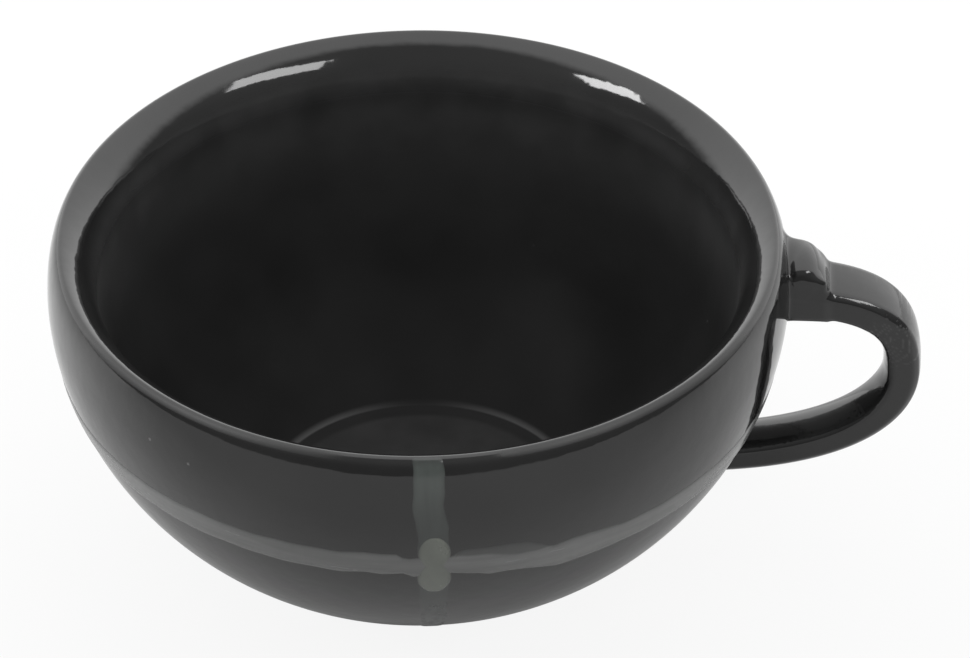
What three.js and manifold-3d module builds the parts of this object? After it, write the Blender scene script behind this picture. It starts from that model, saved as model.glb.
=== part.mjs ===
// Low, round-bellied espresso cup with a strap handle, a thumb bead and brushed stripes.
// Millimetres, +Z up. The origin is the middle of the base, and the handle points along +X.
import * as THREE from 'three';
import { mergeVertices } from 'three/addons/utils/BufferGeometryUtils.js';
import Module from 'manifold-3d';

// Bowl, measured on the finished surface
const HEIGHT = 37.5;
const BELLY_RADIUS = 39;
const BASE_RADIUS = 15.2;
const LIP_RISE = 6;
const LIP_OUTER_RUN = 1.5;
const LIP_INNER_RUN = 3.7;
const FOOT_WALL = 4.7;
const FLOOR_EDGE_HEIGHT = 3;
const FLOOR_STEP = 0.5;
const FLOOR_STEP_RUN = 0.6;

// Roundness of the lip: how far its curve is pulled along the crest and up the wall
const OUTER_CREST_PULL = 0.8;
const OUTER_WALL_PULL = 4.2;
const INNER_CREST_PULL = 0.9;
const INNER_WALL_PULL = 3.7;

// Roundness of the wall: radius^RADIUS_POWER falls with depth^DEPTH_POWER below the belly
const RADIUS_POWER = 2.1;
const DEPTH_POWER = 1.81;

// Glaze coats, which stop short of the base
const GLAZE = 0.4;
const GLAZE_LINE_HEIGHT = 0.8;
const BOND_GAP = 0.05;

// Root block of the handle; drops are measured down from the rim
const ROOT_DROP = 3.5;
const ROOT_HEIGHT = 5.8;
const ROOT_WIDTH = 6.6;
const ROOT_REACH = 4;
const ROOT_EDGE_RADIUS = 0.8;
const ROOT_SHOULDER = 1.2;
const ROOT_SINK = 3;
const SEAT_GAP = 0.3;

// Strap of the handle; reaches are measured out from the belly, and runs steer its curve
const STRAP_REACH = 14;
const STRAP_DROP = 5.7;
const STRAP_APEX_DROP = 16.5;
const STRAP_TAIL_HEIGHT = 9.7;
const STRAP_ROOT_THICKNESS = 3.8;
const STRAP_APEX_THICKNESS = 3.8;
const STRAP_TAIL_THICKNESS = 3.6;
const STRAP_ROOT_WIDTH = 6.4;
const STRAP_TAIL_WIDTH = 5.6;
const STRAP_EDGE_RADIUS = 0.9;
const STRAP_ROOT_RUN = 7.1;
const STRAP_RISE_RUN = 2.6;
const STRAP_FALL_RUN = 6.1;
const STRAP_TAIL_RUN = 14.8;

// Flared lower end of the handle
const TAIL_LENGTH = 3.5;
const TAIL_FLARE = 0.5;
const TAIL_SINK = 3;

// Thumb bead
const BEAD_LENGTH = 4.2;
const BEAD_WIDTH = 5.2;
const BEAD_HEIGHT = 2.2;
const BEAD_SETBACK = 0.6;

// Brushed stripes, laid over the glaze
const STRIPE_COAT = 0.2;
const BAND_DROP = 14.1;
const BAND_WIDTH = 3.5;
const STRIPE_WIDTH = 3.6;
const STRIPE_SHIFT = 1;
const STRIPE_GAP = 0.3;
const STRIPE_END_HEIGHT = 4;
const DAB_WIDTH = 3.8;
const DAB_LENGTH = 9.6;

// Facets
const TURN_STEPS = 64;
const WALL_STEPS = 9;
const LIP_STEPS = 5;
const STRAP_STEPS = 24;
const TAIL_STEPS = 4;
const EDGE_STEPS = 3;
const BEAD_STEPS = 6;
const BEAD_TURN_STEPS = 24;
const DAB_STEPS = 12;

// Levels and places that follow from the sizes
const BELLY_HEIGHT = HEIGHT - LIP_RISE;
const BAND_HEIGHT = HEIGHT - BAND_DROP;
const ROOT_TOP = HEIGHT - ROOT_DROP;
const ROOT_FACE = BELLY_RADIUS + ROOT_REACH;
const COAT_DEPTH = GLAZE + BOND_GAP;
const STRIPE_TOP = BOND_GAP + STRIPE_COAT;
const DAB_TOP = 2 * STRIPE_TOP;
const QUARTER = Math.PI / 2;

const wasm = await Module();
wasm.setup();

// A closed geometry as a solid that can be cut
function toSolid(geometry) {
  const bare = geometry.clone();
  bare.deleteAttribute('normal');
  bare.deleteAttribute('uv');
  const welded = mergeVertices(bare);
  const corners = Array.from(welded.index.array);
  const triangles = [];
  for (let i = 0; i < corners.length; i += 3) {
    const triangle = corners.slice(i, i + 3);
    if (new Set(triangle).size === triangle.length) triangles.push(...triangle);
  }
  const mesh = new wasm.Mesh({
    numProp: 3,
    vertProperties: Float32Array.from(welded.attributes.position.array),
    triVerts: Uint32Array.from(triangles),
  });
  return new wasm.Manifold(mesh);
}

function toGeometry(solid) {
  const mesh = solid.getMesh();
  const geometry = new THREE.BufferGeometry();
  geometry.setAttribute('position', new THREE.BufferAttribute(mesh.vertProperties, 3));
  geometry.setIndex(new THREE.BufferAttribute(mesh.triVerts, 1));
  geometry.computeVertexNormals();
  return geometry;
}

function cut(geometry, cutter) {
  return toGeometry(toSolid(geometry).subtract(toSolid(cutter)));
}

function common(geometry, other) {
  return toGeometry(toSolid(geometry).intersect(toSolid(other)));
}

// A profile of (radius, height) points turned round the upright axis
function turn(profile, steps = TURN_STEPS) {
  return new THREE.LatheGeometry(profile, steps).rotateX(QUARTER);
}

// Point of a round wall at a share of its depth below the belly, moved outwards by a distance
function wallPoint(wall, share, outwards) {
  const span = BELLY_HEIGHT - wall.footHeight;
  const narrowing = 1 - (wall.footRadius / wall.widest) ** RADIUS_POWER;
  const rest = 1 - narrowing * share ** DEPTH_POWER;
  const radius = wall.widest * rest ** (1 / RADIUS_POWER);
  const steepness = (narrowing * DEPTH_POWER * share ** (DEPTH_POWER - 1)) / (RADIUS_POWER * rest);
  const normal = new THREE.Vector2(1, -(steepness * radius) / span).normalize();
  return new THREE.Vector2(radius, BELLY_HEIGHT - share * span).addScaledVector(normal, outwards);
}

const OUTER_WALL = { widest: BELLY_RADIUS, footRadius: BASE_RADIUS, footHeight: 0 };

function outerRadius(height) {
  return wallPoint(OUTER_WALL, (BELLY_HEIGHT - height) / BELLY_HEIGHT, 0).x;
}

const INNER_WALL = {
  widest: BELLY_RADIUS - LIP_OUTER_RUN - LIP_INNER_RUN,
  footRadius: outerRadius(FLOOR_EDGE_HEIGHT) - FOOT_WALL,
  footHeight: FLOOR_EDGE_HEIGHT,
};

// Shares of a wall's depth down to a deepest one, closer together where the wall bends most
function wallShares(deepest) {
  return Array.from({ length: WALL_STEPS + 1 }, (_, i) => deepest * Math.sin((i / WALL_STEPS) * QUARTER));
}

// Half of the lip from a wall's top to the crest; the side is 1 for the outer half and -1 for the inner
function lipCurve(side, run, crestPull, wallPull) {
  const crest = BELLY_RADIUS - LIP_OUTER_RUN;
  return new THREE.CubicBezierCurve(
    new THREE.Vector2(crest + side * run, BELLY_HEIGHT),
    new THREE.Vector2(crest + side * run, BELLY_HEIGHT + wallPull),
    new THREE.Vector2(crest + side * crestPull, HEIGHT),
    new THREE.Vector2(crest, HEIGHT),
  );
}

const OUTER_LIP = lipCurve(1, LIP_OUTER_RUN, OUTER_CREST_PULL, OUTER_WALL_PULL);
const INNER_LIP = lipCurve(-1, LIP_INNER_RUN, INNER_CREST_PULL, INNER_WALL_PULL);

// Point of half of the lip at a share of its curve, level at the crest, and a depth below the finish
function lipPoint(curve, side, share, depth) {
  const along = share < 1 ? curve.getTangent(share) : new THREE.Vector2(-side, 0);
  const outwards = new THREE.Vector2(along.y, -along.x).multiplyScalar(side);
  return curve.getPoint(share).addScaledVector(outwards, -depth);
}

// Outside of the cup at a depth below its finish, from a height up to the crest of the lip
function outside(depth, bottom) {
  const deepest = (BELLY_HEIGHT - bottom) / BELLY_HEIGHT;
  const points = wallShares(deepest).reverse().map((share) => wallPoint(OUTER_WALL, share, -depth));
  for (let i = 1; i <= LIP_STEPS; i += 1) points.push(lipPoint(OUTER_LIP, 1, i / LIP_STEPS, depth));
  return points;
}

// Inside of the cup at a depth below its finish, from the crest of the lip to the floor's middle
function inside(depth) {
  const points = [];
  for (let i = LIP_STEPS; i > 0; i -= 1) points.push(lipPoint(INNER_LIP, -1, i / LIP_STEPS, depth));
  points.push(...wallShares(1).map((share) => wallPoint(INNER_WALL, share, depth)));
  const floor = FLOOR_EDGE_HEIGHT - FLOOR_STEP - depth;
  points.push(new THREE.Vector2(INNER_WALL.footRadius - FLOOR_STEP_RUN, floor));
  points.push(new THREE.Vector2(0, floor));
  return points;
}

// A coat between its upper surface and the surface below it
function coat(upper, lower) {
  const ring = [...upper, ...lower.reverse()];
  return turn([...ring, ring[0].clone()]);
}

function bowlBody() {
  const bareTop = GLAZE_LINE_HEIGHT - BOND_GAP;
  const profile = [
    new THREE.Vector2(0, 0),
    new THREE.Vector2(BASE_RADIUS, 0),
    new THREE.Vector2(outerRadius(bareTop), bareTop),
    ...outside(COAT_DEPTH, bareTop),
    ...inside(COAT_DEPTH).slice(1),
  ];
  return turn(profile);
}

function outerGlaze() {
  return coat(outside(0, GLAZE_LINE_HEIGHT), outside(GLAZE, GLAZE_LINE_HEIGHT));
}

function linerGlaze() {
  return coat(inside(0), inside(GLAZE));
}

// The space that the glazed bowl and its seat gap fill, for cutting what is pressed on the wall
function wallSpace() {
  const points = outside(-SEAT_GAP, 0);
  const first = points[0];
  const last = points[points.length - 1];
  return turn([new THREE.Vector2(0, first.y), ...points, new THREE.Vector2(0, last.y)]);
}

// Rounded rectangle round the origin, with its corners' radius limited by its sides
function roundedRectangle(width, height, radius) {
  const round = Math.min(radius, width / 2, height / 2);
  const points = [];
  for (let corner = 0; corner < 4; corner += 1) {
    const right = corner === 0 || corner === 3 ? 1 : -1;
    const up = corner < 2 ? 1 : -1;
    for (let i = 0; i <= EDGE_STEPS; i += 1) {
      const angle = (corner + i / EDGE_STEPS) * QUARTER;
      const x = right * (width / 2 - round) + round * Math.cos(angle);
      const y = up * (height / 2 - round) + round * Math.sin(angle);
      points.push(new THREE.Vector2(x, y));
    }
  }
  return points;
}

// A solid bar along a path in the XZ plane; size(share) gives its thickness, width and edge radius
function bar(path, from, to, steps, size) {
  const across = new THREE.Vector3(0, 1, 0);
  const positions = [];
  const triangles = [];
  let count = 0;
  for (let step = 0; step <= steps; step += 1) {
    const share = from + ((to - from) * step) / steps;
    const centre = path.getPoint(share);
    const normal = across.clone().cross(path.getTangent(share));
    const { thickness, width, edge } = size(share);
    const ring = roundedRectangle(thickness, width, edge);
    count = ring.length;
    for (const point of ring) {
      const corner = centre.clone().addScaledVector(normal, point.x).addScaledVector(across, point.y);
      positions.push(...corner.toArray());
    }
  }
  for (let step = 0; step < steps; step += 1) {
    for (let i = 0; i < count; i += 1) {
      const a = step * count + i;
      const b = step * count + ((i + 1) % count);
      triangles.push(a, b, a + count, b, b + count, a + count);
    }
  }
  const last = steps * count;
  for (let i = 1; i < count - 1; i += 1) {
    triangles.push(0, i + 1, i, last, last + i, last + i + 1);
  }
  const geometry = new THREE.BufferGeometry();
  geometry.setAttribute('position', new THREE.Float32BufferAttribute(positions, 3));
  geometry.setIndex(triangles);
  geometry.computeVertexNormals();
  return geometry;
}

// Centre line of the strap: out of the root block, round the bend and back on to the wall
function strapPath() {
  const root = new THREE.Vector3(ROOT_FACE, 0, HEIGHT - STRAP_DROP - STRAP_ROOT_THICKNESS / 2);
  const reach = BELLY_RADIUS + STRAP_REACH - STRAP_APEX_THICKNESS / 2;
  const apex = new THREE.Vector3(reach, 0, HEIGHT - STRAP_APEX_DROP);
  const tail = new THREE.Vector3(outerRadius(STRAP_TAIL_HEIGHT), 0, STRAP_TAIL_HEIGHT);
  const sunk = new THREE.Vector3(tail.x - TAIL_SINK, 0, tail.z);
  const rootPull = new THREE.Vector3(root.x + STRAP_ROOT_RUN, 0, root.z);
  const risePull = new THREE.Vector3(apex.x, 0, apex.z + STRAP_RISE_RUN);
  const fallPull = new THREE.Vector3(apex.x, 0, apex.z - STRAP_FALL_RUN);
  const tailPull = new THREE.Vector3(tail.x + STRAP_TAIL_RUN, 0, tail.z);
  const path = new THREE.CurvePath();
  path.add(new THREE.CubicBezierCurve3(root, rootPull, risePull, apex));
  path.add(new THREE.CubicBezierCurve3(apex, fallPull, tailPull, tail));
  path.add(new THREE.LineCurve3(tail, sunk));
  return path;
}

const STRAP_PATH = strapPath();
const [APEX_LENGTH, WALL_LENGTH, PATH_LENGTH] = STRAP_PATH.getCurveLengths();
const APEX_SHARE = APEX_LENGTH / PATH_LENGTH;
const WALL_SHARE = WALL_LENGTH / PATH_LENGTH;
const STRAP_END = (WALL_LENGTH - TAIL_LENGTH) / PATH_LENGTH;
const TAIL_START = STRAP_END + SEAT_GAP / PATH_LENGTH;

function strapSize(share) {
  const rising = THREE.MathUtils.smoothstep(share, 0, APEX_SHARE);
  const falling = THREE.MathUtils.smoothstep(share, APEX_SHARE, STRAP_END);
  const upper = THREE.MathUtils.lerp(STRAP_ROOT_THICKNESS, STRAP_APEX_THICKNESS, rising);
  return {
    thickness: THREE.MathUtils.lerp(upper, STRAP_TAIL_THICKNESS, falling),
    width: THREE.MathUtils.lerp(STRAP_ROOT_WIDTH, STRAP_TAIL_WIDTH, share / STRAP_END),
    edge: STRAP_EDGE_RADIUS,
  };
}

function tailSize(share) {
  const flare = 2 * TAIL_FLARE * THREE.MathUtils.smoothstep(share, TAIL_START, WALL_SHARE);
  return {
    thickness: STRAP_TAIL_THICKNESS + flare,
    width: STRAP_TAIL_WIDTH + flare,
    edge: STRAP_EDGE_RADIUS,
  };
}

function handleStrap() {
  return bar(STRAP_PATH, 0, STRAP_END, STRAP_STEPS, strapSize);
}

function lowerHandleJoint() {
  return cut(bar(STRAP_PATH, TAIL_START, 1, TAIL_STEPS, tailSize), wallSpace());
}

// A rounded slab with a round shoulder over the strap, pressed on the wall
function upperHandleJoint() {
  const bottom = ROOT_TOP - ROOT_HEIGHT;
  const sunk = outerRadius(bottom) - ROOT_SINK;
  const side = new THREE.Shape();
  side.moveTo(sunk, bottom);
  side.lineTo(ROOT_FACE, bottom);
  side.absarc(ROOT_FACE - ROOT_SHOULDER, ROOT_TOP - ROOT_SHOULDER, ROOT_SHOULDER, 0, QUARTER);
  side.lineTo(sunk, ROOT_TOP);
  const depth = ROOT_WIDTH - 2 * ROOT_EDGE_RADIUS;
  const settings = {
    depth,
    curveSegments: EDGE_STEPS,
    bevelSize: ROOT_EDGE_RADIUS,
    bevelThickness: ROOT_EDGE_RADIUS,
    bevelOffset: -ROOT_EDGE_RADIUS,
    bevelSegments: EDGE_STEPS,
  };
  const block = new THREE.ExtrudeGeometry(side, settings).rotateX(QUARTER).translate(0, depth / 2, 0);
  return cut(block, wallSpace());
}

// An oval dome on the root block, set back from the block's face and cut where it meets the wall
function thumbBead() {
  const profile = [new THREE.Vector2(0, 0)];
  for (let i = 0; i < BEAD_STEPS; i += 1) {
    const angle = (i / BEAD_STEPS) * QUARTER;
    profile.push(new THREE.Vector2(Math.cos(angle), Math.sin(angle)));
  }
  profile.push(new THREE.Vector2(0, 1));
  const dome = turn(profile, BEAD_TURN_STEPS).scale(BEAD_LENGTH / 2, BEAD_WIDTH / 2, BEAD_HEIGHT);
  const place = ROOT_FACE - BEAD_SETBACK - BEAD_LENGTH / 2;
  return cut(dome.translate(place, 0, ROOT_TOP), wallSpace());
}

// A brushed coat over the whole outside, which each stripe takes its part of
function brushCoat(bottom, top) {
  return coat(outside(-top, GLAZE_LINE_HEIGHT), outside(-bottom, GLAZE_LINE_HEIGHT));
}

function bellyBand() {
  const radius = BELLY_RADIUS + DAB_TOP;
  const slab = new THREE.CylinderGeometry(radius, radius, BAND_WIDTH, TURN_STEPS).rotateX(QUARTER);
  return common(brushCoat(BOND_GAP, STRIPE_TOP), slab.translate(0, 0, BAND_HEIGHT));
}

// Part of the brushed coat at the front of the cup, between two heights
function frontStripe(low, high) {
  const depth = BELLY_RADIUS + DAB_TOP;
  const block = new THREE.BoxGeometry(STRIPE_WIDTH, depth, high - low);
  block.translate(STRIPE_SHIFT, -depth / 2, (low + high) / 2);
  return common(brushCoat(BOND_GAP, STRIPE_TOP), block);
}

function frontStripeUpper() {
  return frontStripe(BAND_HEIGHT + BAND_WIDTH / 2 + STRIPE_GAP, HEIGHT + STRIPE_TOP);
}

function frontStripeLower() {
  return frontStripe(STRIPE_END_HEIGHT, BAND_HEIGHT - BAND_WIDTH / 2 - STRIPE_GAP);
}

// An oval second coat over the crossing of band and stripe
function crossingDab() {
  const oval = new THREE.Shape();
  oval.absellipse(STRIPE_SHIFT, BAND_HEIGHT, DAB_WIDTH / 2, DAB_LENGTH / 2, 0, 4 * QUARTER);
  const depth = BELLY_RADIUS + DAB_TOP;
  const settings = { depth, bevelEnabled: false, curveSegments: DAB_STEPS };
  const plug = new THREE.ExtrudeGeometry(oval, settings).rotateX(QUARTER);
  return common(brushCoat(STRIPE_TOP + BOND_GAP, DAB_TOP), plug);
}

const clay = new THREE.MeshStandardMaterial({ color: 0x6b5d50, roughness: 0.9, metalness: 0 });
const blackGlaze = new THREE.MeshStandardMaterial({ color: 0x1c1c1c, roughness: 0.12, metalness: 0 });
const bandGlaze = new THREE.MeshStandardMaterial({ color: 0x696969, roughness: 0.25, metalness: 0 });
const stripeGlaze = new THREE.MeshStandardMaterial({ color: 0x4b504d, roughness: 0.25, metalness: 0 });
const dabGlaze = new THREE.MeshStandardMaterial({ color: 0x656962, roughness: 0.25, metalness: 0 });

const cup = new THREE.Group();

function addPiece(name, geometry, material) {
  const piece = new THREE.Mesh(geometry, material);
  piece.name = name;
  cup.add(piece);
}

addPiece('bowl_body', bowlBody(), clay);
addPiece('outer_glaze', outerGlaze(), blackGlaze);
addPiece('liner_glaze', linerGlaze(), blackGlaze);
addPiece('upper_handle_joint', upperHandleJoint(), blackGlaze);
addPiece('handle_strap', handleStrap(), blackGlaze);
addPiece('lower_handle_joint', lowerHandleJoint(), blackGlaze);
addPiece('thumb_bead', thumbBead(), blackGlaze);
addPiece('belly_band', bellyBand(), bandGlaze);
addPiece('front_stripe_upper', frontStripeUpper(), stripeGlaze);
addPiece('front_stripe_lower', frontStripeLower(), stripeGlaze);
addPiece('crossing_dab', crossingDab(), dabGlaze);

export default cup;
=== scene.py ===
import math

import bpy
import numpy as np
from mathutils import Matrix, Vector


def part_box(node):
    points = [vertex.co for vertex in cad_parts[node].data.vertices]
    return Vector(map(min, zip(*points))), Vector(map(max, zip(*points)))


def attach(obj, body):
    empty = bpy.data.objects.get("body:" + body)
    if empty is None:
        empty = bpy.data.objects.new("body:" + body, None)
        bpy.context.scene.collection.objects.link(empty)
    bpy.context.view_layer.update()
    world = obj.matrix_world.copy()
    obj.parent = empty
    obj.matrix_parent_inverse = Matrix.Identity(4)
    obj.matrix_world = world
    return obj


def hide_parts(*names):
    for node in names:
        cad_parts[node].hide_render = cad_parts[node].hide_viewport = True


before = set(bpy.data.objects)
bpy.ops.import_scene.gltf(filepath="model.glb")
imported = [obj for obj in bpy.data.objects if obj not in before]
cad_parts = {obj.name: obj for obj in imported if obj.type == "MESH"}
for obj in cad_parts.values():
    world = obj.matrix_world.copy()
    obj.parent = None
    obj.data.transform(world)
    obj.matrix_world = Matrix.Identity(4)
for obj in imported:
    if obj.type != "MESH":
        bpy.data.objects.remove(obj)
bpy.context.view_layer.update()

# The cup's sizes are in millimetres, like its source, and turned into metres when a mesh is made
MM = 0.001


def cad_box(node):
    return np.array([list(corner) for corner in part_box(node)]) / MM


def metres(sizes):
    return tuple(size * MM for size in sizes)


def grey(level):
    return (level, level, level)


GLAZE_BOX = cad_box("outer_glaze")
ROOT_BOX = cad_box("upper_handle_joint")
STRAP_BOX = cad_box("handle_strap")
BEAD_BOX = cad_box("thumb_bead")

# Bowl, measured on the finished surface
HEIGHT = GLAZE_BOX[1, 2]
BELLY_RADIUS = GLAZE_BOX[1, 0]
BASE_RADIUS = 15.2
LIP_RISE = 6.0
LIP_OUTER_RUN = 1.5
LIP_INNER_RUN = 3.7
LIP_OUTER_PULL = (0.6, 4.4)
LIP_INNER_PULL = (0.6, 3.85)
BELLY_HEIGHT = HEIGHT - LIP_RISE
CREST_RADIUS = BELLY_RADIUS - LIP_OUTER_RUN
MOUTH_RADIUS = CREST_RADIUS - LIP_INNER_RUN
FLOOR_EDGE_RADIUS = 16.6
FLOOR_EDGE_HEIGHT = 3.0
FLOOR_STEP = 0.5
FLOOR_STEP_RUN = 0.6
RADIUS_POWER = 2.1
DEPTH_POWER = 1.81
GLAZE = 0.4
GLAZE_LINE_HEIGHT = GLAZE_BOX[0, 2]
GLAZE_LINE_GAP = 0.05
CLAY_DEPTH = 0.45
FOOT_ROUND = 0.5
FOOT_INSET = 0.02

# Handle: root block, strap and thumb bead
STRAP_OUTER = 2.0
STRAP_INNER = 1.95
STRAP_OUTER_CROWN = 0.4
STRAP_INNER_CROWN = (0.2, 0.9)
STRAP_EDGE_RADIUS = 0.4
STRAP_BACK_RADIUS = 1.5
STRAP_INNER_RADIUS = 0.65
STRAP_BEVEL = 0.36
STRAP_BEVEL_TILT = 44.0
STRAP_BEVEL_BLEND = 0.2
STRAP_ROOT_HEIGHT = 29.95
STRAP_ROOT_TILT = 11.0
STRAP_APEX_HEIGHT = 20.85
STRAP_TAIL_HEIGHT = 9.7
STRAP_ROOT_RUN = 7.9
STRAP_RISE_RUN = 3.15
STRAP_FALL_RUN = 5.9
STRAP_TAIL_RUN = 14.8
STRAP_ROOT_OVERLAP = 5
STRAP_TAIL_OVERLAP = 3
ROOT_EDGE_RADIUS = 0.7
ROOT_BACK_RADIUS = 1.5
ROOT_SHOULDER = 1.8
ROOT_CORNER = 0.15
ROOT_BLEND = 0.9
BEAD_RADII = (2.4, 4.6, 2.8)
BEAD_DROP = 0.8
BEAD_SETBACK = 0.4
BEAD_BLEND = 0.4
FRONT_FILLET = 0.5
BACK_FILLET = 2.4
FILLET_DEPTHS = (-2, 2)
FILLET_MARGIN = 0.2
WALL_COVER = 0.03
WALL_OVERLAP = 0.3

# The strap's width and its lean to the front, as (share of its length, size)
STRAP_WIDTHS = ((0, 6.5), (0.2, 6.5), (0.4, 5.7), (1, 5.6))
STRAP_LEAN = ((0.1, 0.6), (0.42, 0.0))

# Brushed strokes: heights of the coats above the glaze, and powers that shape their edges
STRIPE_COAT = 0.10
BAND_COAT = 0.14
DAB_COAT = 0.20
COAT_ROOT = 0.10
COAT_DIP = 0.03
COAT_EDGE_POWER = 6
COAT_END_POWER = 40
COAT_FADE_POWER = 8

# Edges of the band, as (degrees from the front, height)
BAND_LOW = (
    (-180, 21.2), (-60, 21.6), (-13, 21.6), (-9, 22.0), (-6.5, 21.8), (-3, 21.9), (-1.5, 21.3),
    (4, 21.9), (9, 21.4), (11, 20.9), (14, 21.0), (17, 20.9), (22, 20.2), (28, 20.3), (34, 20.6),
    (60, 20.4), (180, 21.2),
)
BAND_HIGH = (
    (-180, 24.8), (-60, 25.2), (-13, 25.3), (-9, 25.5), (-4, 25.3), (-3, 24.7), (-2, 24.6),
    (0, 24.9), (5, 24.9), (10, 24.6), (15, 23.9), (18, 23.9), (21, 24.3), (24, 24.6), (27, 24.7),
    (33, 24.1), (60, 24.4), (180, 24.8),
)
BAND_WASH = (
    (4.4, 0), (4.8, 25.0), (5.5, 25.6), (6.6, 25.9), (13.6, 26.0), (16.5, 25.8), (18.6, 25.1),
    (20.8, 24.2), (21, 0),
)
WASH_FULLNESS = 0.4
WASH_START = 0.1
WASH_BLEND = 0.3
BAND_PATCHES = 5
BAND_PATCH_DEPTH = 0.07

# Edges of the stripe, as (height, millimetres right of the front), and how full its coat is there
STRIPE_LEFT = (
    (4, -0.3), (11, -0.33), (18.7, -0.54), (27.5, -0.61), (29.2, -0.7), (31, -0.94), (33, -1.01),
    (37, -1.0),
)
STRIPE_RIGHT = (
    (4, 3.1), (11, 3.2), (18.7, 3.05), (29.2, 2.95), (30.5, 2.6), (32.5, 2.45), (34, 2.65),
    (36, 2.65), (37.5, 2.3),
)
STRIPE_FULLNESS = ((4, 0.25), (18, 0.4), (28, 0.55), (31, 0.65), (35, 1.0), (37.5, 1.0))
STRIPE_FADE = 1.2
UPPER_STRIPE_START = 25.2
LOWER_STRIPE_START = 4.2
LOWER_STRIPE_END = 21.6

# Waves on those edges, as (rate, size): the band's by its turn, the stripe's by its length
BAND_LOW_WAVES = ((9, 0.06), (23, 0.05), (47, 0.04))
BAND_HIGH_WAVES = ((8, 0.06), (21, 0.05), (53, 0.04))
STRIPE_LEFT_WAVES = ((0.9, 0.07), (2.1, 0.04))
STRIPE_RIGHT_WAVES = ((0.8, 0.07), (1.9, 0.04))
WAVE_LAG = 1.7
BAND_LOW_PHASE = 0.4
BAND_HIGH_PHASE = 1.1
UPPER_STRIPE_PHASE = 0.3
LOWER_STRIPE_PHASE = 1.9
STRIPE_RIGHT_PHASE = 2

# The two dabs at the crossing, each as (half width, height of its middle, half height)
UPPER_DAB = (1.8, 25.4, 2.6)
LOWER_DAB = (1.95, 21.2, 2.76)
DAB_MIDDLE = 1.3
DAB_TRIM = 0.02
DAB_LEAST = 0.02

# Facets of the meshes
TURN_STEPS = 256
WALL_STEPS = 64
LIP_STEPS = 40
FOOT_STEPS = 8
STRAP_ROOT_STEPS = 20
STRAP_UPPER_STEPS = 60
STRAP_LOWER_STEPS = 90
STRAP_TAIL_STEPS = 12
BAND_STEPS = 720
BAND_COLUMNS = 25
STRIPE_ROWS = 60
STRIPE_COLUMNS = 13
DAB_ROWS = 64
DAB_COLUMNS = 15
SHARP_ANGLE = 45

# Grid that the handle's skin is made on, with its room round the handle
HANDLE_STEP = 0.22
HANDLE_ROOM_LOW = 4
HANDLE_ROOM_OUTER = 0.5
HANDLE_ROOM_TOP = 0.6
HANDLE_HALF_DEPTH = 5.5
SLOPE_STEP = 0.02
SETTLE_PASSES = 2
LEAST_SLOPE = 0.2
POINTS_AT_ONCE = 20000

# Noise of the glazes; scales are repeats in a metre
NOISE_SPAN = (0.3, 0.7)
CLOUD_DETAIL = 3.0
GRAIN_DETAIL = 4.0

# Black glaze
GLAZE_IOR = 1.6
BLACKS = (grey(0.010), grey(0.015))
BLACK_CLOUD_SCALE = 70
PINHOLE_COLOUR = grey(0.16)
PINHOLE_SCALE = 260
PINHOLE_EDGE = (0.03, 0.06)
PINHOLE_CHOICE = (0.78, 0.82)
PINHOLE_SHARE = 0.6
GLAZE_ROUGHNESS = (0.05, 0.10)
GLAZE_ROUGHNESS_SCALE = 120
RIPPLE_SCALE = 350
RIPPLE_RELIEF = 0.04
DRY_RIM_SIDES = (5, 11)
DRY_RIM_DEPTHS = (-22, -12)
DRY_RIM_HEIGHTS = (HEIGHT - 0.8, HEIGHT - 0.4)
DRY_RIM_ROUGHNESS = 0.5

# Glaze inside: painted light pales the upper wall, a pale line of thin glaze over the floor's edge carries
# a painted highlight towards the sides, and glaze is pooled on the floor
LINER_CLOUD_SCALE = 160
LINER_ROUGH_HEIGHTS = (29, 35.5)
LINER_ROUGHNESS = (0.45, 0.07)
LINER_GLOSS_HEIGHTS = (14, 32)
LINER_GLOSS = (0.02, 0.5)
PAINTED_SHEEN_COLOURS = (grey(0.028), grey(0.042))
PAINTED_SHEEN_FOOT_HEIGHTS = (21, 32)
PAINTED_SHEEN_TOP_HEIGHTS = (33, 35.5)
THIN_EDGE_HIGHLIGHT_COLOUR = grey(0.062)
EDGE_FOOT_HEIGHTS = (FLOOR_EDGE_HEIGHT - 0.15, FLOOR_EDGE_HEIGHT)
EDGE_TOP_HEIGHTS = (FLOOR_EDGE_HEIGHT, FLOOR_EDGE_HEIGHT + 0.4)
EDGE_HIGHLIGHT_SIDES = (0, 11)
EDGE_HIGHLIGHT_SHARES = (0.1, 1)
POOL_COLOURS = (grey(0.019), grey(0.028))
POOL_RADII = (FLOOR_EDGE_RADIUS - 1.8, FLOOR_EDGE_RADIUS - 0.9)
POOL_GLOSS_HEIGHTS = (FLOOR_EDGE_HEIGHT - 0.1, FLOOR_EDGE_HEIGHT + 0.2)
POOL_GLOSS = 0.05

# Brushed glazes, each with its thin and full colours and its streaks along the brush
BAND_COLOURS = ((0.125, 0.127, 0.125), (0.175, 0.177, 0.175))
BAND_STREAKS = (90, 90, 900)
STRIPE_COLOURS = ((0.060, 0.069, 0.064), (0.079, 0.090, 0.084))
STRIPE_STREAKS = (900, 900, 90)
DAB_COLOURS = ((0.125, 0.135, 0.117), (0.158, 0.17, 0.147))
DAB_STREAKS = (500, 500, 200)
NO_COAT_COLOUR = (0.013, 0.014, 0.0135)
STREAK_SPAN = (0.25, 0.75)
STREAK_RELIEF = 0.02
STROKE_CLOUD_SCALE = 220
STROKE_CLOUD_SHARE = 0.35
STROKE_ROUGHNESS = (0.16, 0.28)

# Bare clay
CLAY_COLOURS = ((0.13, 0.098, 0.077), (0.19, 0.145, 0.115))
CLAY_GRAIN_SCALE = 900
CLAY_GRAIN_SPAN = (0.35, 0.65)
CLAY_RELIEF = 0.12
CLAY_ROUGHNESS = 0.85

# Camera, in metres and degrees, with its lens in millimetres
CAMERA_DISTANCE = 1.17
CAMERA_ELEVATION = 36.496
CAMERA_YAW = 0.4234
CAMERA_PITCH = 0.4687
CAMERA_ROLL = -0.4967
CAMERA_LENS = 414.3
CAMERA_REACH = 20
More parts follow.
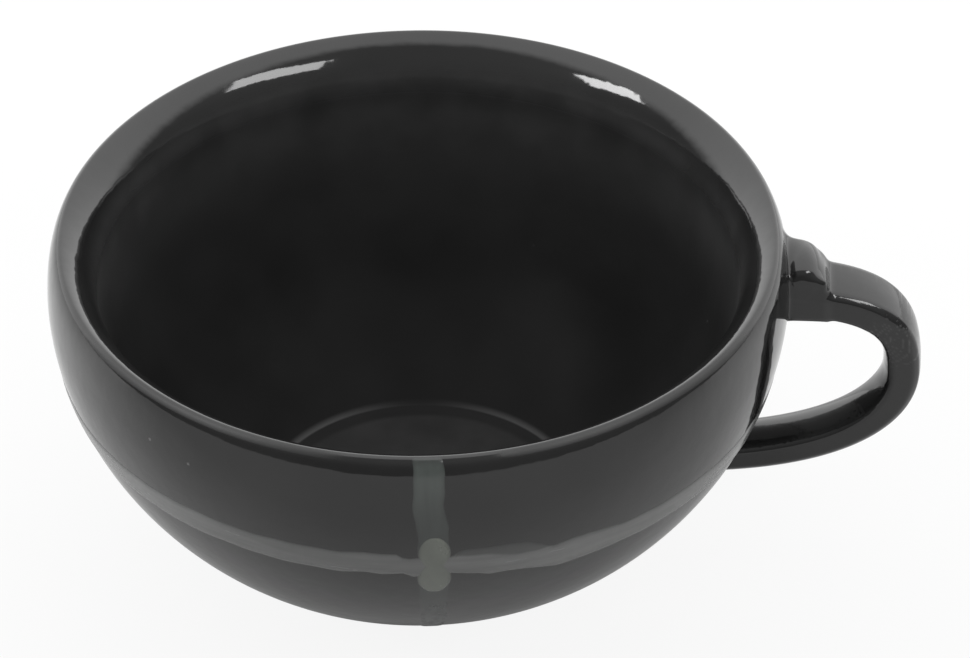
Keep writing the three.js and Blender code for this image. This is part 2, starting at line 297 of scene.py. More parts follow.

# Floor, in metres: painted shade makes it darker in front of the cup, and it glows to the rays that see it
TABLE_WIDTH = 3.0
TABLE_FRONT = 0.27
TABLE_BACK = 1.5
TABLE_DROP = 0.00005
TABLE_SHADE_COLOURS = (grey(0.43), grey(0.75))
TABLE_SHADE_SPAN = (-0.07, 0.03)
TABLE_ROUGHNESS = 0.9
TABLE_GLOW = {"Is Camera Ray": 0.9, "Is Glossy Ray": 0.1, "Is Transmission Ray": 0.1}

# Sky: strengths by how far a direction points up, and by how far it points up and back
SKY_SPAN = (0.05, 0.60)
SKY_STRENGTHS = (0.20, 0.38)
BACK_SKY_SPAN = (0.2, 0.6)
BACK_SKY_STRENGTH = 1.6

# Softboxes, a distance in metres away: name, azimuth, elevation, width and height in degrees, radiance
LAMP_DISTANCE = 1.2
SOFTBOXES = (
    ("softbox_right", 51, 40, 27, 12, 7.0),
    ("softbox_left", -71.5, 35, 18.5, 11, 12),
)


class Shading:
    """Nodes of a material or a world, with a short way to add each kind that is used here."""

    def __init__(self, owner):
        owner.use_nodes = True
        self.nodes = owner.node_tree.nodes
        self.links = owner.node_tree.links

    def link(self, source, target):
        self.links.new(source, target)

    def place(self, kind="Object"):
        return self.nodes.new("ShaderNodeTexCoord").outputs[kind]

    def axes(self, place):
        made = self.nodes.new("ShaderNodeSeparateXYZ")
        self.link(place, made.inputs["Vector"])
        return [made.outputs[axis] for axis in "XYZ"]

    def stretched(self, place, scale):
        """Place scaled along each axis."""
        made = self.nodes.new("ShaderNodeMapping")
        made.inputs["Scale"].default_value = scale
        self.link(place, made.inputs["Vector"])
        return made.outputs["Vector"]

    def radius(self, place):
        """Distance from the cup's axis."""
        made = self.nodes.new("ShaderNodeVectorMath")
        made.operation = "LENGTH"
        self.link(self.stretched(place, (1, 1, 0)), made.inputs[0])
        return made.outputs["Value"]

    def noise(self, place, scale, detail=2.0):
        made = self.nodes.new("ShaderNodeTexNoise")
        made.inputs["Scale"].default_value = scale
        made.inputs["Detail"].default_value = detail
        self.link(place, made.inputs["Vector"])
        return made.outputs["Fac"]

    def spread(self, value, span, result):
        """A value moved smoothly from one range to another."""
        made = self.nodes.new("ShaderNodeMapRange")
        made.interpolation_type = "SMOOTHSTEP"
        for name, limit in zip(("From Min", "From Max", "To Min", "To Max"), (*span, *result)):
            made.inputs[name].default_value = limit
        self.link(value, made.inputs["Value"])
        return made.outputs["Result"]

    def maths(self, operation, *values):
        made = self.nodes.new("ShaderNodeMath")
        made.operation = operation
        for value, socket in zip(values, made.inputs):
            self.link(value, socket)
        return made.outputs["Value"]

    def blend(self, share, first, second):
        """Colour between two colours, each a colour or the output of a node."""
        made = self.nodes.new("ShaderNodeMix")
        made.data_type = "RGBA"
        self.link(share, made.inputs["Factor"])
        for name, colour in zip("AB", (first, second)):
            socket = [entry for entry in made.inputs if entry.name == name and entry.type == "RGBA"][0]
            if isinstance(colour, tuple):
                socket.default_value = (*colour, 1)
            else:
                self.link(colour, socket)
        return [entry for entry in made.outputs if entry.type == "RGBA"][0]

    def bump(self, height, relief, shader):
        made = self.nodes.new("ShaderNodeBump")
        made.inputs["Distance"].default_value = relief * MM
        self.link(height, made.inputs["Height"])
        self.link(made.outputs["Normal"], shader.inputs["Normal"])

    def ray_share(self, shares):
        """Sum of the shares that each kind of ray counts for."""
        path = self.nodes.new("ShaderNodeLightPath")
        total = None
        for kind, share in shares.items():
            made = self.nodes.new("ShaderNodeMath")
            made.operation = "MULTIPLY_ADD"
            made.inputs[1].default_value = share
            made.inputs[2].default_value = 0
            self.link(path.outputs[kind], made.inputs[0])
            if total:
                self.link(total, made.inputs[2])
            total = made.outputs["Value"]
        return total


def material(name):
    made = bpy.data.materials.new(name)
    shade = Shading(made)
    return made, shade, shade.nodes["Principled BSDF"]


def glaze_black(shade, place):
    """Black that clouds a little, with sparse pale pinholes."""
    cloud = shade.spread(shade.noise(place, BLACK_CLOUD_SCALE), NOISE_SPAN, (0, 1))
    black = shade.blend(cloud, *BLACKS)
    cells = shade.nodes.new("ShaderNodeTexVoronoi")
    cells.inputs["Scale"].default_value = PINHOLE_SCALE
    shade.link(place, cells.inputs["Vector"])
    dots = shade.spread(cells.outputs["Distance"], PINHOLE_EDGE, (1, 0))
    chosen = shade.spread(cells.outputs["Color"], PINHOLE_CHOICE, (0, PINHOLE_SHARE))
    return shade.blend(shade.maths("MULTIPLY", dots, chosen), black, PINHOLE_COLOUR)


def dry_rim(shade, place):
    """Roughness of two dry patches on the outside of the rim, left and right of the front."""
    side, depth, height = shade.axes(place)
    aside = shade.spread(shade.maths("ABSOLUTE", side), metres(DRY_RIM_SIDES), (0, 1))
    front = shade.spread(depth, metres(DRY_RIM_DEPTHS), (1, 0))
    rim = shade.spread(height, metres(DRY_RIM_HEIGHTS), (0, DRY_RIM_ROUGHNESS))
    return shade.maths("MULTIPLY", shade.maths("MULTIPLY", aside, front), rim)


def black_glaze():
    made, shade, shader = material("black_glaze")
    place = shade.place()
    shade.link(glaze_black(shade, place), shader.inputs["Base Color"])
    cloud = shade.noise(place, GLAZE_ROUGHNESS_SCALE, CLOUD_DETAIL)
    rough = shade.spread(cloud, NOISE_SPAN, GLAZE_ROUGHNESS)
    shade.link(shade.maths("MAXIMUM", rough, dry_rim(shade, place)), shader.inputs["Roughness"])
    shader.inputs["IOR"].default_value = GLAZE_IOR
    shade.bump(shade.noise(place, RIPPLE_SCALE), RIPPLE_RELIEF, shader)
    return made


def thin_edge_highlight(shade, place):
    """Share of the pale line of thin glaze over the step of the cup's floor, grown towards the sides into
    a painted highlight.
    """
    side, _, height = shade.axes(place)
    over = shade.spread(height, metres(EDGE_FOOT_HEIGHTS), (0, 1))
    under = shade.spread(height, metres(EDGE_TOP_HEIGHTS), (1, 0))
    # Painted highlight: the line is stronger towards the sides.
    aside = shade.spread(shade.maths("ABSOLUTE", side), metres(EDGE_HIGHLIGHT_SIDES), EDGE_HIGHLIGHT_SHARES)
    return shade.maths("MULTIPLY", shade.maths("MULTIPLY", over, under), aside)


def liner_glaze():
    """Black glaze that is glossy at the lip, drier down the wall, paled by painted light on its upper
    part, and pooled on the floor.
    """
    made, shade, shader = material("liner_glaze")
    place = shade.place()
    height = shade.axes(place)[2]
    cloud = shade.spread(shade.noise(place, LINER_CLOUD_SCALE, CLOUD_DETAIL), NOISE_SPAN, (0, 1))
    black = glaze_black(shade, place)
    # Painted light: the upper inner wall is paler, standing in for the sky that lights it.
    painted_sheen = shade.blend(cloud, *PAINTED_SHEEN_COLOURS)
    pooled = shade.blend(cloud, *POOL_COLOURS)
    pool = shade.spread(shade.radius(place), metres(POOL_RADII), (1, 0))
    colour = shade.blend(shade.spread(height, metres(PAINTED_SHEEN_FOOT_HEIGHTS), (0, 1)), black, painted_sheen)
    colour = shade.blend(shade.spread(height, metres(PAINTED_SHEEN_TOP_HEIGHTS), (0, 1)), colour, black)
    # Pale line of thin glaze over the floor's step, with a painted highlight.
    colour = shade.blend(thin_edge_highlight(shade, place), colour, THIN_EDGE_HIGHLIGHT_COLOUR)
    shade.link(shade.blend(pool, colour, pooled), shader.inputs["Base Color"])
    shader.inputs["IOR"].default_value = GLAZE_IOR
    rough = shade.spread(height, metres(LINER_ROUGH_HEIGHTS), LINER_ROUGHNESS)
    shade.link(rough, shader.inputs["Roughness"])
    wall_gloss = shade.spread(height, metres(LINER_GLOSS_HEIGHTS), LINER_GLOSS)
    pool_gloss = shade.spread(height, metres(POOL_GLOSS_HEIGHTS), (POOL_GLOSS, 0))
    shade.link(shade.maths("MAXIMUM", wall_gloss, pool_gloss), shader.inputs["Specular IOR Level"])
    shade.bump(shade.noise(place, RIPPLE_SCALE), RIPPLE_RELIEF, shader)
    return made


def brushed_glaze(name, colours, streaks):
    """Brushed glaze that is thin at its edges, with streaks along the brush."""
    made, shade, shader = material(name)
    place = shade.place()
    thin, full = colours
    streak = shade.noise(shade.stretched(place, streaks), 1.0, GRAIN_DETAIL)
    cloud = shade.noise(place, STROKE_CLOUD_SCALE, CLOUD_DETAIL)
    coat = shade.nodes.new("ShaderNodeAttribute")
    coat.attribute_name = "coat"
    colour = shade.blend(shade.spread(streak, STREAK_SPAN, (0, 1)), thin, full)
    colour = shade.blend(shade.spread(cloud, NOISE_SPAN, (0, STROKE_CLOUD_SHARE)), colour, thin)
    colour = shade.blend(coat.outputs["Fac"], NO_COAT_COLOUR, colour)
    shade.link(colour, shader.inputs["Base Color"])
    shade.link(shade.spread(streak, NOISE_SPAN, STROKE_ROUGHNESS), shader.inputs["Roughness"])
    shader.inputs["IOR"].default_value = GLAZE_IOR
    shade.bump(streak, STREAK_RELIEF, shader)
    return made


def bare_clay():
    made, shade, shader = material("bare_clay")
    grain = shade.noise(shade.place(), CLAY_GRAIN_SCALE, GRAIN_DETAIL)
    colour = shade.blend(shade.spread(grain, CLAY_GRAIN_SPAN, (0, 1)), *CLAY_COLOURS)
    shade.link(colour, shader.inputs["Base Color"])
    shader.inputs["Roughness"].default_value = CLAY_ROUGHNESS
    shade.bump(grain, CLAY_RELIEF, shader)
    return made


def piece(name, points, faces, finish, nodes):
    """A new smooth mesh of points in millimetres that rides on the cup and stands for CAD nodes."""
    mesh = bpy.data.meshes.new(name)
    mesh.from_pydata((np.asarray(points) * MM).tolist(), [], [list(face) for face in faces])
    mesh.polygons.foreach_set("use_smooth", [True] * len(mesh.polygons))
    mesh.set_sharp_from_angle(angle=math.radians(SHARP_ANGLE))
    mesh.materials.append(finish)
    made = bpy.data.objects.new(name, mesh)
    bpy.context.scene.collection.objects.link(made)
    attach(made, "root")
    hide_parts(*nodes)
    return made


def bezier(ends, steps):
    share = np.linspace(0, 1, steps)[:, None]
    start, first, second, end = (np.array(point, float) for point in ends)
    keep = 1 - share
    return keep**3 * start + 3 * keep**2 * share * first + 3 * keep * share**2 * second + share**3 * end


def lip_half(wall, pull):
    """Half of the lip from a wall's top to the crest, as (radius, height)."""
    along, up = pull
    side = 1 if wall > CREST_RADIUS else -1
    wall_pull = (wall, BELLY_HEIGHT + up)
    crest_pull = (CREST_RADIUS + side * along, HEIGHT)
    return bezier([(wall, BELLY_HEIGHT), wall_pull, crest_pull, (CREST_RADIUS, HEIGHT)], LIP_STEPS)


OUTER_LIP = lip_half(BELLY_RADIUS, LIP_OUTER_PULL)
INNER_LIP = lip_half(MOUTH_RADIUS, LIP_INNER_PULL)[::-1]


def narrowed(widest, narrowest, share):
    """Radius of a wall at a share of its depth below the belly."""
    narrowing = 1 - (narrowest / widest) ** RADIUS_POWER
    return widest * (1 - narrowing * share**DEPTH_POWER) ** (1 / RADIUS_POWER)


def outer_wall(height):
    """Radius of the outside at a height, with the lip."""
    height = np.asarray(height, float)
    share = np.clip((BELLY_HEIGHT - height) / BELLY_HEIGHT, 0, 1)
    lip = np.interp(height, OUTER_LIP[:, 1], OUTER_LIP[:, 0])
    return np.where(height > BELLY_HEIGHT, lip, narrowed(BELLY_RADIUS, BASE_RADIUS, share))


def normals_of(line):
    """Normals to the right of a line's direction."""
    along = np.gradient(line, axis=0)
    along /= np.linalg.norm(along, axis=1)[:, None]
    return np.column_stack([along[:, 1], -along[:, 0]])


def outside(depth, bottom):
    """Outside from a height up to the crest of the lip, at a depth below the finish."""
    shares = np.sin(np.linspace(1, 0, WALL_STEPS) * math.pi / 2)
    heights = BELLY_HEIGHT - (BELLY_HEIGHT - bottom) * shares
    wall = np.column_stack([outer_wall(heights), heights])
    line = np.vstack([wall, OUTER_LIP[1:]])
    return line - depth * normals_of(line)


def inside(depth):
    """Inside from the crest of the lip to the middle of the floor, at a depth below the finish."""
    shares = np.sin(np.linspace(0, 1, WALL_STEPS) * math.pi / 2)
    heights = BELLY_HEIGHT - shares * (BELLY_HEIGHT - FLOOR_EDGE_HEIGHT)
    wall = np.column_stack([narrowed(MOUTH_RADIUS, FLOOR_EDGE_RADIUS, shares), heights])
    line = np.vstack([INNER_LIP, wall[1:]])
    bottom = FLOOR_EDGE_HEIGHT - FLOOR_STEP - depth
    step = [FLOOR_EDGE_RADIUS - FLOOR_STEP_RUN, bottom]
    return np.vstack([line - depth * normals_of(line), step, [0, bottom]])


def turned(name, profile, finish, nodes, closed):
    """A profile of (radius, height) points turned round; a closed one joins its end to its start."""
    angles = np.linspace(0, 2 * math.pi, TURN_STEPS, endpoint=False)
    points = []
    rows = []
    for radius, height in profile:
        start = len(points)
        if radius == 0:
            points.append((0, 0, height))
            rows.append([start] * TURN_STEPS)
        else:
            points.extend((radius * math.cos(a), radius * math.sin(a), height) for a in angles)
            rows.append(list(range(start, start + TURN_STEPS)))
    pairs = list(zip(rows, rows[1:]))
    if closed:
        pairs.append((rows[-1], rows[0]))
    faces = []
    for low, high in pairs:
        for i in range(TURN_STEPS):
            j = (i + 1) % TURN_STEPS
            face = tuple(dict.fromkeys((low[i], low[j], high[j], high[i])))
            if len(face) > 2:
                faces.append(face)
    return piece(name, points, faces, finish, nodes)


def bowl(black, liner, clay):
    coat = np.vstack([outside(0, GLAZE_LINE_HEIGHT), outside(GLAZE, GLAZE_LINE_HEIGHT)[::-1]])
    turned("outer_glaze_coat", coat, black, ["outer_glaze"], True)
    pool = np.vstack([inside(0), inside(GLAZE)[::-1]])
    turned("liner_glaze_coat", pool, liner, ["liner_glaze"], True)
    bare = GLAZE_LINE_HEIGHT - GLAZE_LINE_GAP
    angles = np.linspace(-math.pi / 2, 0, FOOT_STEPS)
    foot = np.column_stack([np.cos(angles), 1 + np.sin(angles)]) * FOOT_ROUND
    foot[:, 0] += outer_wall(FOOT_ROUND) - FOOT_ROUND - FOOT_INSET
    ring = [[outer_wall(bare) - FOOT_INSET, bare]]
    body = [[[0, 0]], foot, ring, outside(CLAY_DEPTH, bare), inside(CLAY_DEPTH)[1:]]
    turned("clay_body", np.vstack(body), clay, ["bowl_body"], False)


def edge_line(values, corners):
    """Uneven line through a few corners, given as (place, value)."""
    places, sizes = zip(*corners)
    return np.interp(values, places, sizes)


def strap_line():
    """Centre line of the strap as (x, z), from inside the root block round to inside the wall."""
    tilt = math.radians(STRAP_ROOT_TILT)
    ahead = np.array([math.cos(tilt), -math.sin(tilt)])
    root = np.array([ROOT_BOX[1, 0], STRAP_ROOT_HEIGHT])
    apex = (STRAP_BOX[1, 0] - STRAP_OUTER, STRAP_APEX_HEIGHT)
    tail = (float(outer_wall(STRAP_TAIL_HEIGHT)), STRAP_TAIL_HEIGHT)
    root_pull = root + STRAP_ROOT_RUN * ahead
    rise_pull = (apex[0], apex[1] + STRAP_RISE_RUN)
    fall_pull = (apex[0], apex[1] - STRAP_FALL_RUN)
    tail_pull = (tail[0] + STRAP_TAIL_RUN, tail[1])
    start = root - np.linspace(STRAP_ROOT_OVERLAP, 0, STRAP_ROOT_STEPS)[:, None] * ahead
    upper = bezier((root, root_pull, rise_pull, apex), STRAP_UPPER_STEPS)
    lower = bezier((apex, fall_pull, tail_pull, tail), STRAP_LOWER_STEPS)
    end = np.linspace(tail, (tail[0] - STRAP_TAIL_OVERLAP, tail[1]), STRAP_TAIL_STEPS)
    return np.vstack([start, upper[1:], lower[1:], end[1:]])


STRAP_LINE = strap_line()
STRAP_SHARE = np.linspace(0, 1, len(STRAP_LINE))
STRAP_NORMALS = normals_of(STRAP_LINE)


def rounded(first, second, radius):
    """Distance outside both of two limits, with a rounded edge between them."""
    a, b = first + radius, second + radius
    return np.minimum(np.maximum(a, b), 0) + np.hypot(np.maximum(a, 0), np.maximum(b, 0)) - radius


def merged(first, second, run):
    """Distance to the union of two forms, with a soft fillet."""
    return np.minimum(first, second) - np.maximum(run - np.abs(first - second), 0) ** 2 / (4 * run)


def strap_distance(points):
    """Distance to the strap, which has a bevel along its outer edges and leans to the front."""
    tilt = math.radians(STRAP_BEVEL_TILT)
    out = []
    for part in np.array_split(points, max(1, len(points) // POINTS_AT_ONCE)):
        gap = part[:, None, ::2] - STRAP_LINE[None]
        near = np.argmin((gap**2).sum(2), axis=1)
        off = (gap[np.arange(len(part)), near] * STRAP_NORMALS[near]).sum(1)
        share = STRAP_SHARE[near]
        half = edge_line(share, STRAP_WIDTHS) / 2
        across = part[:, 1] / half
        side = np.abs(part[:, 1]) - half
        inner = STRAP_INNER - np.interp(share, [0, 1], STRAP_INNER_CROWN) * across**2
        lean = edge_line(share, STRAP_LEAN) * (np.clip(1 + across, 0, 2) / 2) ** 2
        outer = STRAP_OUTER - STRAP_OUTER_CROWN * across**2 + lean
        face = np.abs(off) - np.where(off > 0, inner, outer)
        edge = np.where(across > 0, STRAP_BACK_RADIUS, STRAP_EDGE_RADIUS)
        bar = rounded(face, side, np.where(off > 0, STRAP_INNER_RADIUS, edge))
        bevel = face * math.cos(tilt) + side * math.sin(tilt) + np.where(off > 0, 0, STRAP_BEVEL)
        out.append(-merged(-bar, -bevel, STRAP_BEVEL_BLEND))
    return np.concatenate(out)


def edge_radius(points):
    """Radius of the edges of the root block and the bead, which are softer at the back."""
    return np.where(points[:, 1] > 0, ROOT_BACK_RADIUS, ROOT_EDGE_RADIUS)


def root_distance(points):
    low, high = ROOT_BOX
    x = points[:, 0] - (low[0] + high[0]) / 2
    z = points[:, 2] - (low[2] + high[2]) / 2
    corner = np.where((x > 0) & (z > 0), ROOT_SHOULDER, ROOT_CORNER)
    side = rounded(np.abs(x) - (high[0] - low[0]) / 2, np.abs(z) - (high[2] - low[2]) / 2, corner)
    return rounded(side, np.abs(points[:, 1]) - high[1], edge_radius(points))


def bead_distance(points):
    radii = np.array(BEAD_RADII)
    top = BEAD_BOX[1, 2] - BEAD_DROP
    middle = np.array([ROOT_BOX[1, 0] - BEAD_SETBACK - radii[0], 0, top - radii[2]])
    near = (points - middle) / radii
    size = np.linalg.norm(near, axis=1)
    dome = size * (size - 1) / np.maximum(np.linalg.norm(near / radii, axis=1), 1e-6)
    return rounded(dome, np.abs(points[:, 1]) - ROOT_BOX[1, 1], edge_radius(points))


def wall_distance(points):
    height = points[:, 2]
    slope = (outer_wall(height + SLOPE_STEP / 2) - outer_wall(height - SLOPE_STEP / 2)) / SLOPE_STEP
    gap = np.hypot(points[:, 0], points[:, 1]) - outer_wall(height)
    return gap / np.sqrt(1 + slope**2)


def handle_distance(points):
    """Distance to the handle, its bead and the fillets that they make with each other and the wall."""
    wall = wall_distance(points)
    fillet = np.interp(points[:, 1], FILLET_DEPTHS, [FRONT_FILLET, BACK_FILLET])
    body = merged(root_distance(points), strap_distance(points), ROOT_BLEND)
    body = merged(body, bead_distance(points), BEAD_BLEND)
    whole = merged(body, wall + WALL_COVER, fillet)
    return np.maximum(np.maximum(whole, -wall - WALL_OVERLAP), body - fillet - FILLET_MARGIN)


def slope_of(distance, points):
    steps = np.eye(3) * SLOPE_STEP
    rises = [distance(points + step) - distance(points - step) for step in steps]
    return np.column_stack(rises) / (2 * SLOPE_STEP)


def skin(distance, low, high, step):
    """Quads over the zero surface of a distance, one point in each grid cell that it passes."""
    counts = [int(math.ceil((b - a) / step)) + 1 for a, b in zip(low, high)]
    lines = [a + step * np.arange(n) for a, n in zip(low, counts)]
    grid = np.stack(np.meshgrid(*lines, indexing="ij"), axis=-1)
    values = distance(grid.reshape(-1, 3)).reshape(counts)
    cells = [n - 1 for n in counts]
    total = np.zeros((*cells, 3))
    hits = np.zeros(cells)
    crossings = []
    for axis in range(3):
        start = [slice(None)] * 3
        end = [slice(None)] * 3
        start[axis] = slice(None, -1)
        end[axis] = slice(1, None)
        first, second = values[tuple(start)], values[tuple(end)]
        crossed = (first < 0) != (second < 0)
        share = np.where(crossed, first / np.where(crossed, first - second, 1), 0)
        points = grid[tuple(start)].copy()
        points[..., axis] += share * step
        crossings.append((crossed, first < 0))
        b, c = (axis + 1) % 3, (axis + 2) % 3
        for i in (0, 1):
            for j in (0, 1):
                part = [slice(None)] * 3
                part[b] = slice(i, i + cells[b])
                part[c] = slice(j, j + cells[c])
                total += points[tuple(part)] * crossed[tuple(part)][..., None]
                hits += crossed[tuple(part)]
    used = hits > 0
    index = np.full(cells, -1)
    index[used] = np.arange(used.sum())
    points = total[used] / hits[used][:, None]
    faces = []
    for axis, (crossed, inner) in enumerate(crossings):
        sides = [(axis + 1) % 3, (axis + 2) % 3]
        b, c = np.eye(3, dtype=int)[sides]
        places = np.argwhere(crossed)
        across = places[:, sides]
        places = places[((across > 0) & (across < [cells[side] for side in sides])).all(1)]
        quads = np.stack([index[tuple((places - shift).T)] for shift in (0 * b, b, b + c, c)], axis=1)
        faces.extend(np.where(inner[tuple(places.T)][:, None], quads, quads[:, ::-1]).tolist())
    for _ in range(SETTLE_PASSES):
        slope = slope_of(distance, points)
        steepness = np.maximum((slope**2).sum(1), LEAST_SLOPE)
        points = points - slope * (distance(points) / steepness)[:, None]
    slope = slope_of(distance, points)
    return points, faces, slope / np.linalg.norm(slope, axis=1)[:, None]


def handle(black):
    inner = float(outer_wall(STRAP_TAIL_HEIGHT)) - HANDLE_ROOM_LOW
    low = (inner, -HANDLE_HALF_DEPTH, STRAP_TAIL_HEIGHT - HANDLE_ROOM_LOW)
    high = (STRAP_BOX[1, 0] + HANDLE_ROOM_OUTER, HANDLE_HALF_DEPTH, BEAD_BOX[1, 2] + HANDLE_ROOM_TOP)
    points, faces, normals = skin(handle_distance, low, high, HANDLE_STEP)
    nodes = ["upper_handle_joint", "handle_strap", "lower_handle_joint", "thumb_bead"]
    made = piece("glazed_handle", points, faces, black, nodes)
    made.data.normals_split_custom_set_from_vertices(normals.tolist())


PROFILE = outside(0, GLAZE_LINE_HEIGHT)
PROFILE_NORMALS = normals_of(PROFILE)
PROFILE_LENGTHS = np.concatenate([[0], np.cumsum(np.linalg.norm(np.diff(PROFILE, axis=0), axis=1))])


def wall_length(height):
    """Length along the outside from the glaze line up to a height."""
    return np.interp(height, PROFILE[:, 1], PROFILE_LENGTHS)


def wall_point(turn, length, out):
    """Point of the outside at a turn from the front, moved outwards by a distance."""
    radius, height, right, up = (
        np.interp(length, PROFILE_LENGTHS, column) for column in np.hstack([PROFILE, PROFILE_NORMALS]).T
    )
    reach = radius + out * right
    return np.stack([reach * np.sin(turn), -reach * np.cos(turn), height + out * up], axis=-1)


def waves(values, parts, phase):
    """Uneven edge of a brush stroke, from waves given as (rate, size)."""
    return sum(size * np.sin(rate * values + phase + WAVE_LAG * i) for i, (rate, size) in enumerate(parts))


def brushed(name, turns, lengths, coat, fullness, finish, ring):
    """A raised brush stroke over a grid of turns and lengths on the wall, with its edges dipping in."""
    rows, columns = turns.shape
    across = np.abs(np.linspace(-1, 1, columns))
    along = np.ones(rows)
    if not ring:
        along = 1 - np.abs(np.linspace(-1, 1, rows)) ** COAT_END_POWER
    rise = np.outer(along, coat * (1 - across**COAT_EDGE_POWER)) - COAT_DIP
    top = wall_point(turns, lengths, rise)
    bottom = wall_point(turns, lengths, np.full(turns.shape, -COAT_ROOT))
    points = np.concatenate([top.reshape(-1, 3), bottom.reshape(-1, 3)])
    under = rows * columns
    faces = []
    for i in range(rows if ring else rows - 1):
        n = (i + 1) % rows
        for j in range(columns - 1):
            a, b, c, d = i * columns + j, n * columns + j, n * columns + j + 1, i * columns + j + 1
            faces.append((a, b, c, d))
            faces.append((under + d, under + c, under + b, under + a))
        a, b = i * columns, n * columns
        faces.append((a, under + a, under + b, b))
        a, b = a + columns - 1, b + columns - 1
        faces.append((b, under + b, under + a, a))
    if not ring:
        last = (rows - 1) * columns
        for j in range(columns - 1):
            faces.append((j, j + 1, under + j + 1, under + j))
            faces.append((last + j + 1, last + j, under + last + j, under + last + j + 1))
    made = piece(name, points, faces, finish, [name])
    faded = np.clip(fullness * (1 - across**COAT_FADE_POWER), 0, 1)
    layer = made.data.attributes.new("coat", "FLOAT", "POINT")
    layer.data.foreach_set("value", np.tile(faded.ravel(), 2).astype(np.float32))


def belly_band(finish):
    """Band round the belly, with a thin wash over it right of the front."""
    turns = np.linspace(-math.pi, math.pi, BAND_STEPS, endpoint=False)
    degrees = np.degrees(turns)
    low = edge_line(degrees, BAND_LOW) + waves(turns, BAND_LOW_WAVES, BAND_LOW_PHASE)
    full = edge_line(degrees, BAND_HIGH) + waves(turns, BAND_HIGH_WAVES, BAND_HIGH_PHASE)
    high = np.maximum(full, edge_line(degrees, BAND_WASH))
    heights = low[:, None] + (high - low)[:, None] * np.linspace(0, 1, BAND_COLUMNS)
    grid = np.repeat(turns[:, None], BAND_COLUMNS, axis=1)
    covered = np.clip(0.5 + (full[:, None] + WASH_START - heights) / WASH_BLEND, 0, 1)
    fullness = WASH_FULLNESS + (1 - WASH_FULLNESS) * covered
    fullness *= 1 - BAND_PATCH_DEPTH + BAND_PATCH_DEPTH * np.sin(BAND_PATCHES * turns)[:, None]
    brushed("belly_band", grid, wall_length(heights), BAND_COAT, fullness, finish, True)


def front_stripe(name, low, high, finish, phase):
    """Part of the stripe down the front; it thins out downwards and fades over the lip."""
    lengths = np.linspace(wall_length(low), wall_length(high), STRIPE_ROWS)
    heights = np.interp(lengths, PROFILE_LENGTHS, PROFILE[:, 1])
    left = edge_line(heights, STRIPE_LEFT) + waves(lengths, STRIPE_LEFT_WAVES, phase)
    right = edge_line(heights, STRIPE_RIGHT)
    right += waves(lengths, STRIPE_RIGHT_WAVES, phase + STRIPE_RIGHT_PHASE)
    across = left[:, None] + (right - left)[:, None] * np.linspace(0, 1, STRIPE_COLUMNS)
    turns = across[:, ::-1] / BELLY_RADIUS
    grid = np.repeat(lengths[:, None], STRIPE_COLUMNS, axis=1)
    fade = np.clip((PROFILE_LENGTHS[-1] - lengths) / STRIPE_FADE, 0, 1)
    fullness = (edge_line(heights, STRIPE_FULLNESS) * fade)[:, None]
    brushed(name, turns, grid, STRIPE_COAT, fullness, finish, False)


def dab_half(heights, dab):
    """Half width of a round dab at heights."""
    half_width, middle, half_height = dab
    return half_width * np.sqrt(np.clip(1 - ((heights - middle) / half_height) ** 2, 0, 1))


def crossing_dab(finish):
    """Two round dabs, one over the other."""
    low = LOWER_DAB[1] - LOWER_DAB[2] + DAB_TRIM
    high = UPPER_DAB[1] + UPPER_DAB[2] - DAB_TRIM
    heights = np.linspace(low, high, DAB_ROWS)
    half = np.maximum(dab_half(heights, UPPER_DAB), dab_half(heights, LOWER_DAB))
    half = np.maximum(half, DAB_LEAST)
    turns = (DAB_MIDDLE + half[:, None] * np.linspace(1, -1, DAB_COLUMNS)) / BELLY_RADIUS
    grid = np.repeat(wall_length(heights)[:, None], DAB_COLUMNS, axis=1)
    fullness = np.ones((DAB_ROWS, 1))
    brushed("crossing_dab", turns, grid, DAB_COAT, fullness, finish, False)


def stripes():
    band = brushed_glaze("band_glaze", BAND_COLOURS, BAND_STREAKS)
    stripe = brushed_glaze("stripe_glaze", STRIPE_COLOURS, STRIPE_STREAKS)
    dab = brushed_glaze("dab_glaze", DAB_COLOURS, DAB_STREAKS)
    belly_band(band)
    front_stripe("front_stripe_upper", UPPER_STRIPE_START, HEIGHT, stripe, UPPER_STRIPE_PHASE)
    front_stripe("front_stripe_lower", LOWER_STRIPE_START, LOWER_STRIPE_END, stripe, LOWER_STRIPE_PHASE)
    crossing_dab(dab)


def camera():
    data = bpy.data.cameras.new("camera")
    data.lens = CAMERA_LENS
    data.clip_end = CAMERA_REACH
    made = bpy.data.objects.new("camera", data)
    bpy.context.scene.collection.objects.link(made)
    elevation = math.radians(CAMERA_ELEVATION)
    pitch = elevation + math.radians(CAMERA_PITCH)
    yaw = math.radians(CAMERA_YAW)
    place = Vector((0, -math.cos(elevation), math.sin(elevation))) * CAMERA_DISTANCE
    place.z += HEIGHT * MM
    ahead = Vector((math.sin(yaw) * math.cos(pitch), math.cos(yaw) * math.cos(pitch), -math.sin(pitch)))
    right = ahead.cross(Vector((0, 0, 1))).normalized()
    up = right.cross(ahead)
    turn = Matrix((right, up, -ahead)).transposed() @ Matrix.Rotation(math.radians(CAMERA_ROLL), 3, "Z")
    made.matrix_world = Matrix.Translation(place) @ turn.to_4x4()
    bpy.context.scene.camera = made


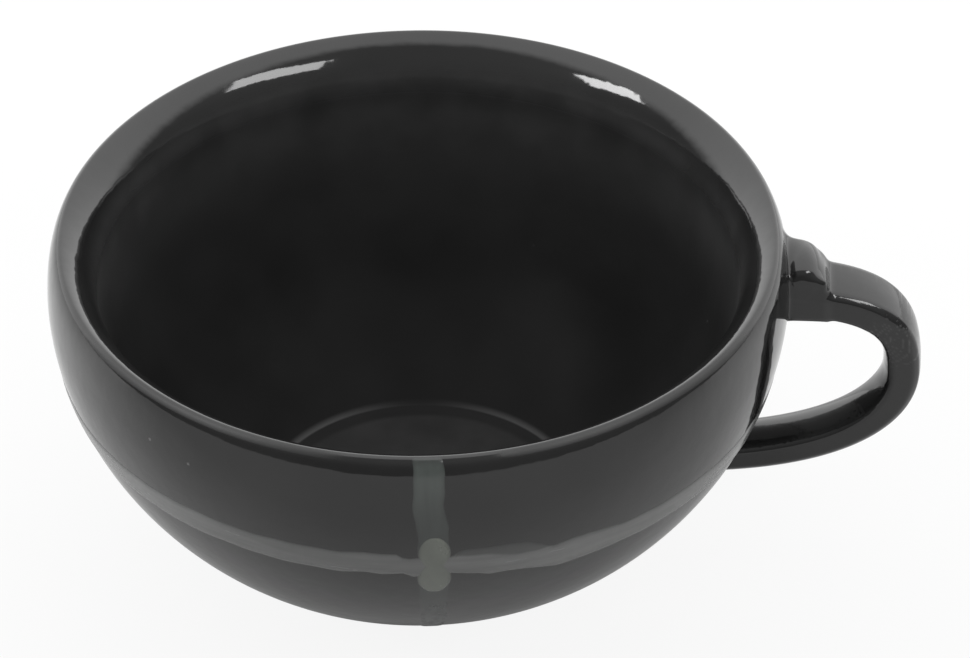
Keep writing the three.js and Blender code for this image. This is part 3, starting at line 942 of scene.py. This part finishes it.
def white_floor():
    made, shade, shader = material("white_floor")
    depth = shade.axes(shade.place())[1]
    # Painted shade: the floor is darker in front of the cup, where its light falls off, and paler behind.
    pale = shade.spread(depth, TABLE_SHADE_SPAN, (0, 1))
    shade.link(shade.blend(pale, *TABLE_SHADE_COLOURS), shader.inputs["Base Color"])
    shader.inputs["Roughness"].default_value = TABLE_ROUGHNESS
    shader.inputs["Specular IOR Level"].default_value = 0
    glow = shade.nodes.new("ShaderNodeEmission")
    glow.inputs["Strength"].default_value = 1.0
    mix = shade.nodes.new("ShaderNodeMixShader")
    shade.link(shade.ray_share(TABLE_GLOW), mix.inputs["Fac"])
    shade.link(shader.outputs["BSDF"], mix.inputs[1])
    shade.link(glow.outputs["Emission"], mix.inputs[2])
    shade.link(mix.outputs["Shader"], shade.nodes["Material Output"].inputs["Surface"])
    return made


def floor():
    mesh = bpy.data.meshes.new("floor")
    side = TABLE_WIDTH / 2
    corners = [(-side, -TABLE_FRONT), (side, -TABLE_FRONT), (side, TABLE_BACK), (-side, TABLE_BACK)]
    mesh.from_pydata([(x, y, -TABLE_DROP) for x, y in corners], [], [(0, 1, 2, 3)])
    mesh.materials.append(white_floor())
    plane = bpy.data.objects.new("floor", mesh)
    bpy.context.scene.collection.objects.link(plane)


def direction(azimuth, elevation):
    """Direction from the cup, with the azimuth turned from the front to the right."""
    a, e = math.radians(azimuth), math.radians(elevation)
    return Vector((math.sin(a) * math.cos(e), -math.cos(a) * math.cos(e), math.sin(e)))


def softbox(name, azimuth, elevation, width, height, radiance):
    """An area lamp that spans a width and height in degrees, seen from the cup."""
    data = bpy.data.lights.new(name, "AREA")
    data.shape = "RECTANGLE"
    data.size = 2 * LAMP_DISTANCE * math.tan(math.radians(width / 2))
    data.size_y = 2 * LAMP_DISTANCE * math.tan(math.radians(height / 2))
    data.energy = radiance * math.pi * data.size * data.size_y
    made = bpy.data.objects.new(name, data)
    bpy.context.scene.collection.objects.link(made)
    towards = direction(azimuth, elevation)
    made.location = towards * LAMP_DISTANCE + Vector((0, 0, HEIGHT * MM))
    made.rotation_euler = towards.to_track_quat("Z", "Y").to_euler()
    made.visible_camera = False


def studio():
    """Bright sky behind and overhead, dark room round the camera, and two softboxes at the front."""
    world = bpy.data.worlds.new("studio")
    bpy.context.scene.world = world
    shade = Shading(world)
    _, back, up = shade.axes(shade.place("Generated"))
    sky = shade.spread(up, SKY_SPAN, SKY_STRENGTHS)
    back_sky = shade.spread(shade.maths("ADD", back, up), BACK_SKY_SPAN, (0, BACK_SKY_STRENGTH))
    seen = shade.nodes.new("ShaderNodeLightPath").outputs["Is Camera Ray"]
    strength = shade.maths("MAXIMUM", shade.maths("MAXIMUM", sky, back_sky), seen)
    background = shade.nodes["Background"]
    shade.link(strength, background.inputs["Strength"])
    background.inputs["Color"].default_value = (1, 1, 1, 1)
    for box in SOFTBOXES:
        softbox(*box)


def dress():
    black = black_glaze()
    bowl(black, liner_glaze(), bare_clay())
    handle(black)
    stripes()
    floor()
    studio()
    camera()
    bpy.context.scene.view_settings.view_transform = "Standard"


dress()
